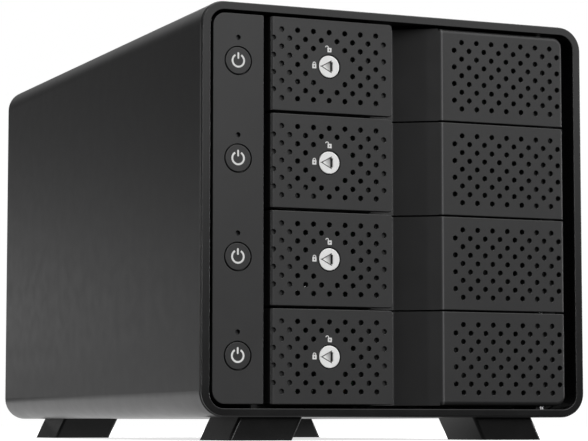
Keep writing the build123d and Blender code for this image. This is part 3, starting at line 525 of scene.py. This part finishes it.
# Shares of the can's radius and height: foot, bead, groove, side and rounded top
CAN_PROFILE = [(0.94, 0.00), (1.00, 0.05), (1.00, 0.20), (0.93, 0.25), (0.93, 0.30)]
CAN_PROFILE += [(1.00, 0.35), (1.00, 0.93), (0.97, 0.98), (0.90, 1.00)]


def add_block(build, centre, size, front):
    """A block on the front of a board: size is its width, its height and how far it stands out."""
    width, height, depth = size
    made = bmesh.ops.create_cube(build, size=1.0)["verts"]
    place = Matrix.Translation((centre[0], front - depth / 2, centre[1]))
    bmesh.ops.transform(build, verts=made, matrix=place @ Matrix.Diagonal((width, depth, height, 1)))
    edges = {edge for vert in made for edge in vert.link_edges}
    bmesh.ops.bevel(build, geom=list(edges), offset=BLOCK_BEVEL, segments=2, affect="EDGES")


def block_piece(name, blocks, front, slot, material=None):
    """Several blocks as one piece that rides on the chassis."""
    build = bmesh.new()
    for centre, size in blocks:
        add_block(build, centre, size, front)
    finish_piece(name, build, "chassis", slot, material)


def can_piece(name, centre, front):
    """An electrolytic can that stands on the front of a board: beaded near its foot, round at its top."""
    build = bmesh.new()
    rings = []
    for share, rise in CAN_PROFILE:
        ring = circle(centre, CAN_RADIUS * share, CAN_POINTS)
        rings.append([build.verts.new((x, front - CAN_HEIGHT * rise, z)) for x, z in ring])
    build.faces.new(rings[0])
    build.faces.new(list(reversed(rings[-1])))
    for lower, upper in zip(rings, rings[1:]):
        for n in range(CAN_POINTS):
            m = (n + 1) % CAN_POINTS
            build.faces.new((lower[n], lower[m], upper[m], upper[n]))
    finish_piece(name, build, "chassis", "capacitor_aluminium")


def backplane_parts(number):
    """Power switch chip and capacitors, with their solder ends, beside one bay's drive connector."""
    low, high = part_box("backplane_board")
    front = low.y
    centre_z = middle_of(f"power_button_{number}")[0].z
    row_z = centre_z - ROW_DROP
    chip_x = (low.x + high.x) / 2 + CHIP_OFFSET
    capacitor_x = chip_x + CAPACITOR_OFFSET
    chip = ((chip_x, row_z), (CHIP_LENGTH, CHIP_WIDTH - PIN_REACH * PIN_OVERLAP, CHIP_HEIGHT))
    pins = [
        (
            (chip_x + (n - (PINS_PER_SIDE - 1) / 2) * PIN_PITCH, row_z + side * CHIP_WIDTH / 2),
            (PIN_WIDTH, PIN_REACH, PIN_HEIGHT),
        )
        for n in range(PINS_PER_SIDE)
        for side in (-1, 1)
    ]
    capacitors = [
        ((capacitor_x + n * CAPACITOR_PITCH, row_z + rise), CAPACITOR_SIZE)
        for n in range(CAPACITOR_COUNT)
        for rise in (-CAPACITOR_RISE, CAPACITOR_RISE)
    ]
    width, height, depth = CAPACITOR_SIZE
    solder_size = (width * SOLDER_LENGTH, height * SOLDER_GIRTH, depth * SOLDER_GIRTH)
    ends = [
        ((x + side * width * SOLDER_REACH, z), solder_size)
        for (x, z), _ in capacitors
        for side in (-1, 1)
    ]
    tantalums = [
        ((capacitor_x + CAPACITOR_PITCH * (TANTALUM_START + TANTALUM_STEP * n), row_z), TANTALUM_SIZE)
        for n in range(2)
    ]
    can_x, slot_edge = capacitor_x + CAN_OFFSET, centre_z - SLOT_DROP
    base = ((can_x, slot_edge - CAN_BASE[1] / 2), CAN_BASE)
    block_piece(f"backplane_chips_{number}", [chip, base], front, "socket_plastic")
    can_piece(f"backplane_can_{number}", (can_x, slot_edge - CAN_RADIUS + CAN_OVERHANG), front)
    block_piece(f"backplane_pins_{number}", pins + ends, front, "bright_steel")
    block_piece(f"backplane_capacitors_{number}", capacitors, front, "flex_film", "ceramic")
    block_piece(f"backplane_tantalums_{number}", tantalums, front, "flex_film", "tantalum")


LABEL_RADIUS, LABEL_THICKNESS, LABEL_POINTS = 17.5 * MM, 0.12 * MM, 96
LABEL_RINGS = {"outer": (16.4 * MM, 0.5 * MM), "inner": (9.0 * MM, 0.9 * MM)}


def fan_label():
    """Plain round label with two printed rings on the fan's motor, seen from behind."""
    low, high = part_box("fan_frame")
    middle = ((low.x + high.x) / 2, (low.z + high.z) / 2)
    back = high.y
    build = bmesh.new()
    add_disc(build, circle(middle, LABEL_RADIUS, LABEL_POINTS), back, LABEL_THICKNESS)
    finish_piece("fan_label", build, "chassis", "capacitor_aluminium", "label_silver")
    for name, (radius, width) in LABEL_RINGS.items():
        outer, inner = [circle(middle, radius + side * width / 2, LABEL_POINTS) for side in (1, -1)]
        build = bmesh.new()
        add_band(build, outer, inner, back + LABEL_THICKNESS, PRINT_AND_SHADE_THICKNESS)
        finish_piece(f"fan_label_{name}_ring", build, "chassis", "socket_plastic", "print_and_shade_dark")


# ---------------------------------------------------------------- studio

FLOOR_HALF, FLOOR_GREY, FLOOR_ROUGHNESS, FLOOR_GLOW = 6, 0.80, 0.6, 0.70
POOL_CENTRE = (-0.11, 0.10)
# Reach, rise and span say where a strength changes, and light says what it is before and after
POOL_REACH, POOL_LIGHT = (0.15, 0.30), (0.90, 0.02)
RIGHT_GLOW = (("X", (-0.06, 0.08), (0.0, 0.55)), ("Y", (-0.16, -0.06), (0.0, 1.0)))
FRONT_RISE, FRONT_LIGHT = (-0.01, 0.18), (0.0, 1.3)
LEFT_SPAN, LEFT_SHARE = (-0.6, 0.1), 0.15
BACK_SPAN = (-0.4, 0.3)
BACK_RISE, BACK_LIGHT = (0.02, 0.12), (0.60, 0.08)
BACK_FADES = (("Z", (-0.02, 0.045), (0.0, 1.1)), ("X", (-0.42, -0.22), (0.8, 1.5)))
TOP_RISE, TOP_LIGHT = (0.25, 0.60), (0.0, 0.6)
# Place, target, width and height in metres, and power in watts
LIGHTS = {
    "front_softbox": ((0.75, -1.2, 0.9), (0, -0.1, 0.10), (1.2, 0.6), 2.4),
    "front_strip": ((-0.15, -1.8, 0.6), (0, -0.1, 0.10), (0.15, 1.1), 6),
    "left_edge_strip": ((-1.7, -0.45, 0.24), (0, -0.1, 0.08), (0.12, 0.5), 4),
    "right_edge_strip": ((1.7, -0.35, 0.24), (0, -0.1, 0.08), (0.12, 0.5), 5),
    "top_softbox": ((0.1, -0.4, 1.3), (0, -0.1, 0.10), (1.0, 0.8), 5),
    "rear_softbox": ((0.9, 1.3, 0.9), (0, 0, 0.10), (1.2, 0.8), 8),
}


def add_light(name, place, target, size, power):
    """A soft rectangular light that faces a target."""
    data = bpy.data.lights.new(name, "AREA")
    data.shape = "RECTANGLE"
    data.size, data.size_y = size
    data.energy = power
    light = bpy.data.objects.new(name, data)
    light.location = place
    light.visible_camera = False
    light.rotation_euler = (Vector(target) - Vector(place)).to_track_quat("-Z", "Y").to_euler()
    bpy.context.scene.collection.objects.link(light)


def seen_or_lighting(tree, seen, lighting):
    """One shader where the camera looks straight at it, another where it lights the object."""
    ray = tree.nodes.new("ShaderNodeLightPath")
    mix = tree.nodes.new("ShaderNodeMixShader")
    tree.links.new(ray.outputs["Is Camera Ray"], mix.inputs["Fac"])
    tree.links.new(lighting, mix.inputs[1])
    tree.links.new(seen, mix.inputs[2])
    return mix.outputs["Shader"]


def ramp_of(tree, value, start, end, low, high):
    """A number that goes smoothly from low to high while value goes from start to end."""
    span = tree.nodes.new("ShaderNodeMapRange")
    span.interpolation_type = "SMOOTHSTEP"
    for name, number in (("From Min", start), ("From Max", end), ("To Min", low), ("To Max", high)):
        span.inputs[name].default_value = number
    tree.links.new(value, span.inputs["Value"])
    return span.outputs["Result"]


def combine(tree, operation, first, second):
    """The sum, the product or the larger of two numbers."""
    maths = tree.nodes.new("ShaderNodeMath")
    maths.operation = operation
    tree.links.new(first, maths.inputs[0])
    tree.links.new(second, maths.inputs[1])
    return maths.outputs["Value"]


def make_floor():
    """A large pale floor, kept white where the camera sees it."""
    mesh = bpy.data.meshes.new("studio_floor")
    corners = [(-1, -1), (1, -1), (1, 1), (-1, 1)]
    mesh.from_pydata([(FLOOR_HALF * x, FLOOR_HALF * y, 0) for x, y in corners], [], [(0, 1, 2, 3)])
    floor = bpy.data.objects.new("studio_floor", mesh)
    bpy.context.scene.collection.objects.link(floor)
    paint, shader = start_material("floor_paint", (FLOOR_GREY,) * 3, FLOOR_ROUGHNESS)
    shader.inputs["Emission Color"].default_value = (1, 1, 1, 1)
    shader.inputs["Emission Strength"].default_value = FLOOR_GLOW
    tree = paint.node_tree
    place = own_place(tree)
    way = axes_of(tree, place)
    reach = tree.nodes.new("ShaderNodeVectorMath")
    reach.operation = "DISTANCE"
    reach.inputs[1].default_value = (*POOL_CENTRE, 0)
    tree.links.new(place, reach.inputs[0])
    near = ramp_of(tree, reach.outputs["Value"], *POOL_REACH, *POOL_LIGHT)
    right, ahead = [ramp_of(tree, way[axis], *span, *light) for axis, span, light in RIGHT_GLOW]
    pool = tree.nodes.new("ShaderNodeEmission")
    strength = combine(tree, "MAXIMUM", near, combine(tree, "MULTIPLY", right, ahead))
    tree.links.new(strength, pool.inputs["Strength"])
    output = seen_or_lighting(tree, shader.outputs["BSDF"], pool.outputs["Emission"])
    tree.links.new(output, tree.nodes["Material Output"].inputs["Surface"])
    mesh.materials.append(paint)


def make_world():
    """White where the camera looks at it; for lighting, a tall front wall and a low band behind."""
    world = bpy.data.worlds.new("studio")
    world.use_nodes = True
    bpy.context.scene.world = world
    tree = world.node_tree
    nodes, links = tree.nodes, tree.links
    soft = nodes["Background"]
    soft.inputs["Color"].default_value = (1, 1, 1, 1)
    way = axes_of(tree, nodes.new("ShaderNodeTexCoord").outputs["Generated"])
    front = ramp_of(tree, way["Z"], *FRONT_RISE, *FRONT_LIGHT)
    share = ramp_of(tree, way["X"], *LEFT_SPAN, LEFT_SHARE, 1)
    low_back = ramp_of(tree, way["Z"], *BACK_RISE, *BACK_LIGHT)
    for axis, span, light in BACK_FADES:
        low_back = combine(tree, "MULTIPLY", low_back, ramp_of(tree, way[axis], *span, *light))
    high_back = ramp_of(tree, way["Z"], *TOP_RISE, *TOP_LIGHT)
    blend = nodes.new("ShaderNodeMix")
    links.new(ramp_of(tree, way["Y"], *BACK_SPAN, 0, 1), blend.inputs["Factor"])
    links.new(combine(tree, "MULTIPLY", front, share), blend.inputs["A"])
    links.new(combine(tree, "ADD", low_back, high_back), blend.inputs["B"])
    links.new(blend.outputs["Result"], soft.inputs["Strength"])
    seen = nodes.new("ShaderNodeBackground")
    seen.inputs["Color"].default_value = (1, 1, 1, 1)
    output = seen_or_lighting(tree, seen.outputs["Background"], soft.outputs["Background"])
    links.new(output, nodes["World Output"].inputs["Surface"])


def make_studio():
    """Pale floor, white surroundings and soft lights."""
    bpy.context.scene.view_settings.view_transform = "Standard"
    make_floor()
    make_world()
    for name, (place, target, size, power) in LIGHTS.items():
        add_light(name, place, target, size, power)


CAMERA_PLACE = (-371.85 * MM, -887.5 * MM, 5.48 * MM)
CAMERA_TILT, CAMERA_TURN = 5.17, -23.35
LENS_MM, SENSOR_MM = 138.8, 36.0


def make_camera():
    """Camera at the object's left front, close to the floor and tilted a little upwards."""
    data = bpy.data.cameras.new("camera")
    data.lens = LENS_MM
    data.sensor_width = SENSOR_MM
    data.clip_start, data.clip_end = 0.01, 50
    camera = bpy.data.objects.new("camera", data)
    camera.location = CAMERA_PLACE
    camera.rotation_euler = (math.radians(90 + CAMERA_TILT), 0, math.radians(CAMERA_TURN))
    bpy.context.scene.collection.objects.link(camera)
    bpy.context.scene.camera = camera


dress_frame()
for number in BAYS:
    print_symbols(number)
for number in BAYS:
    backplane_parts(number)
fan_label()
make_studio()
make_camera()
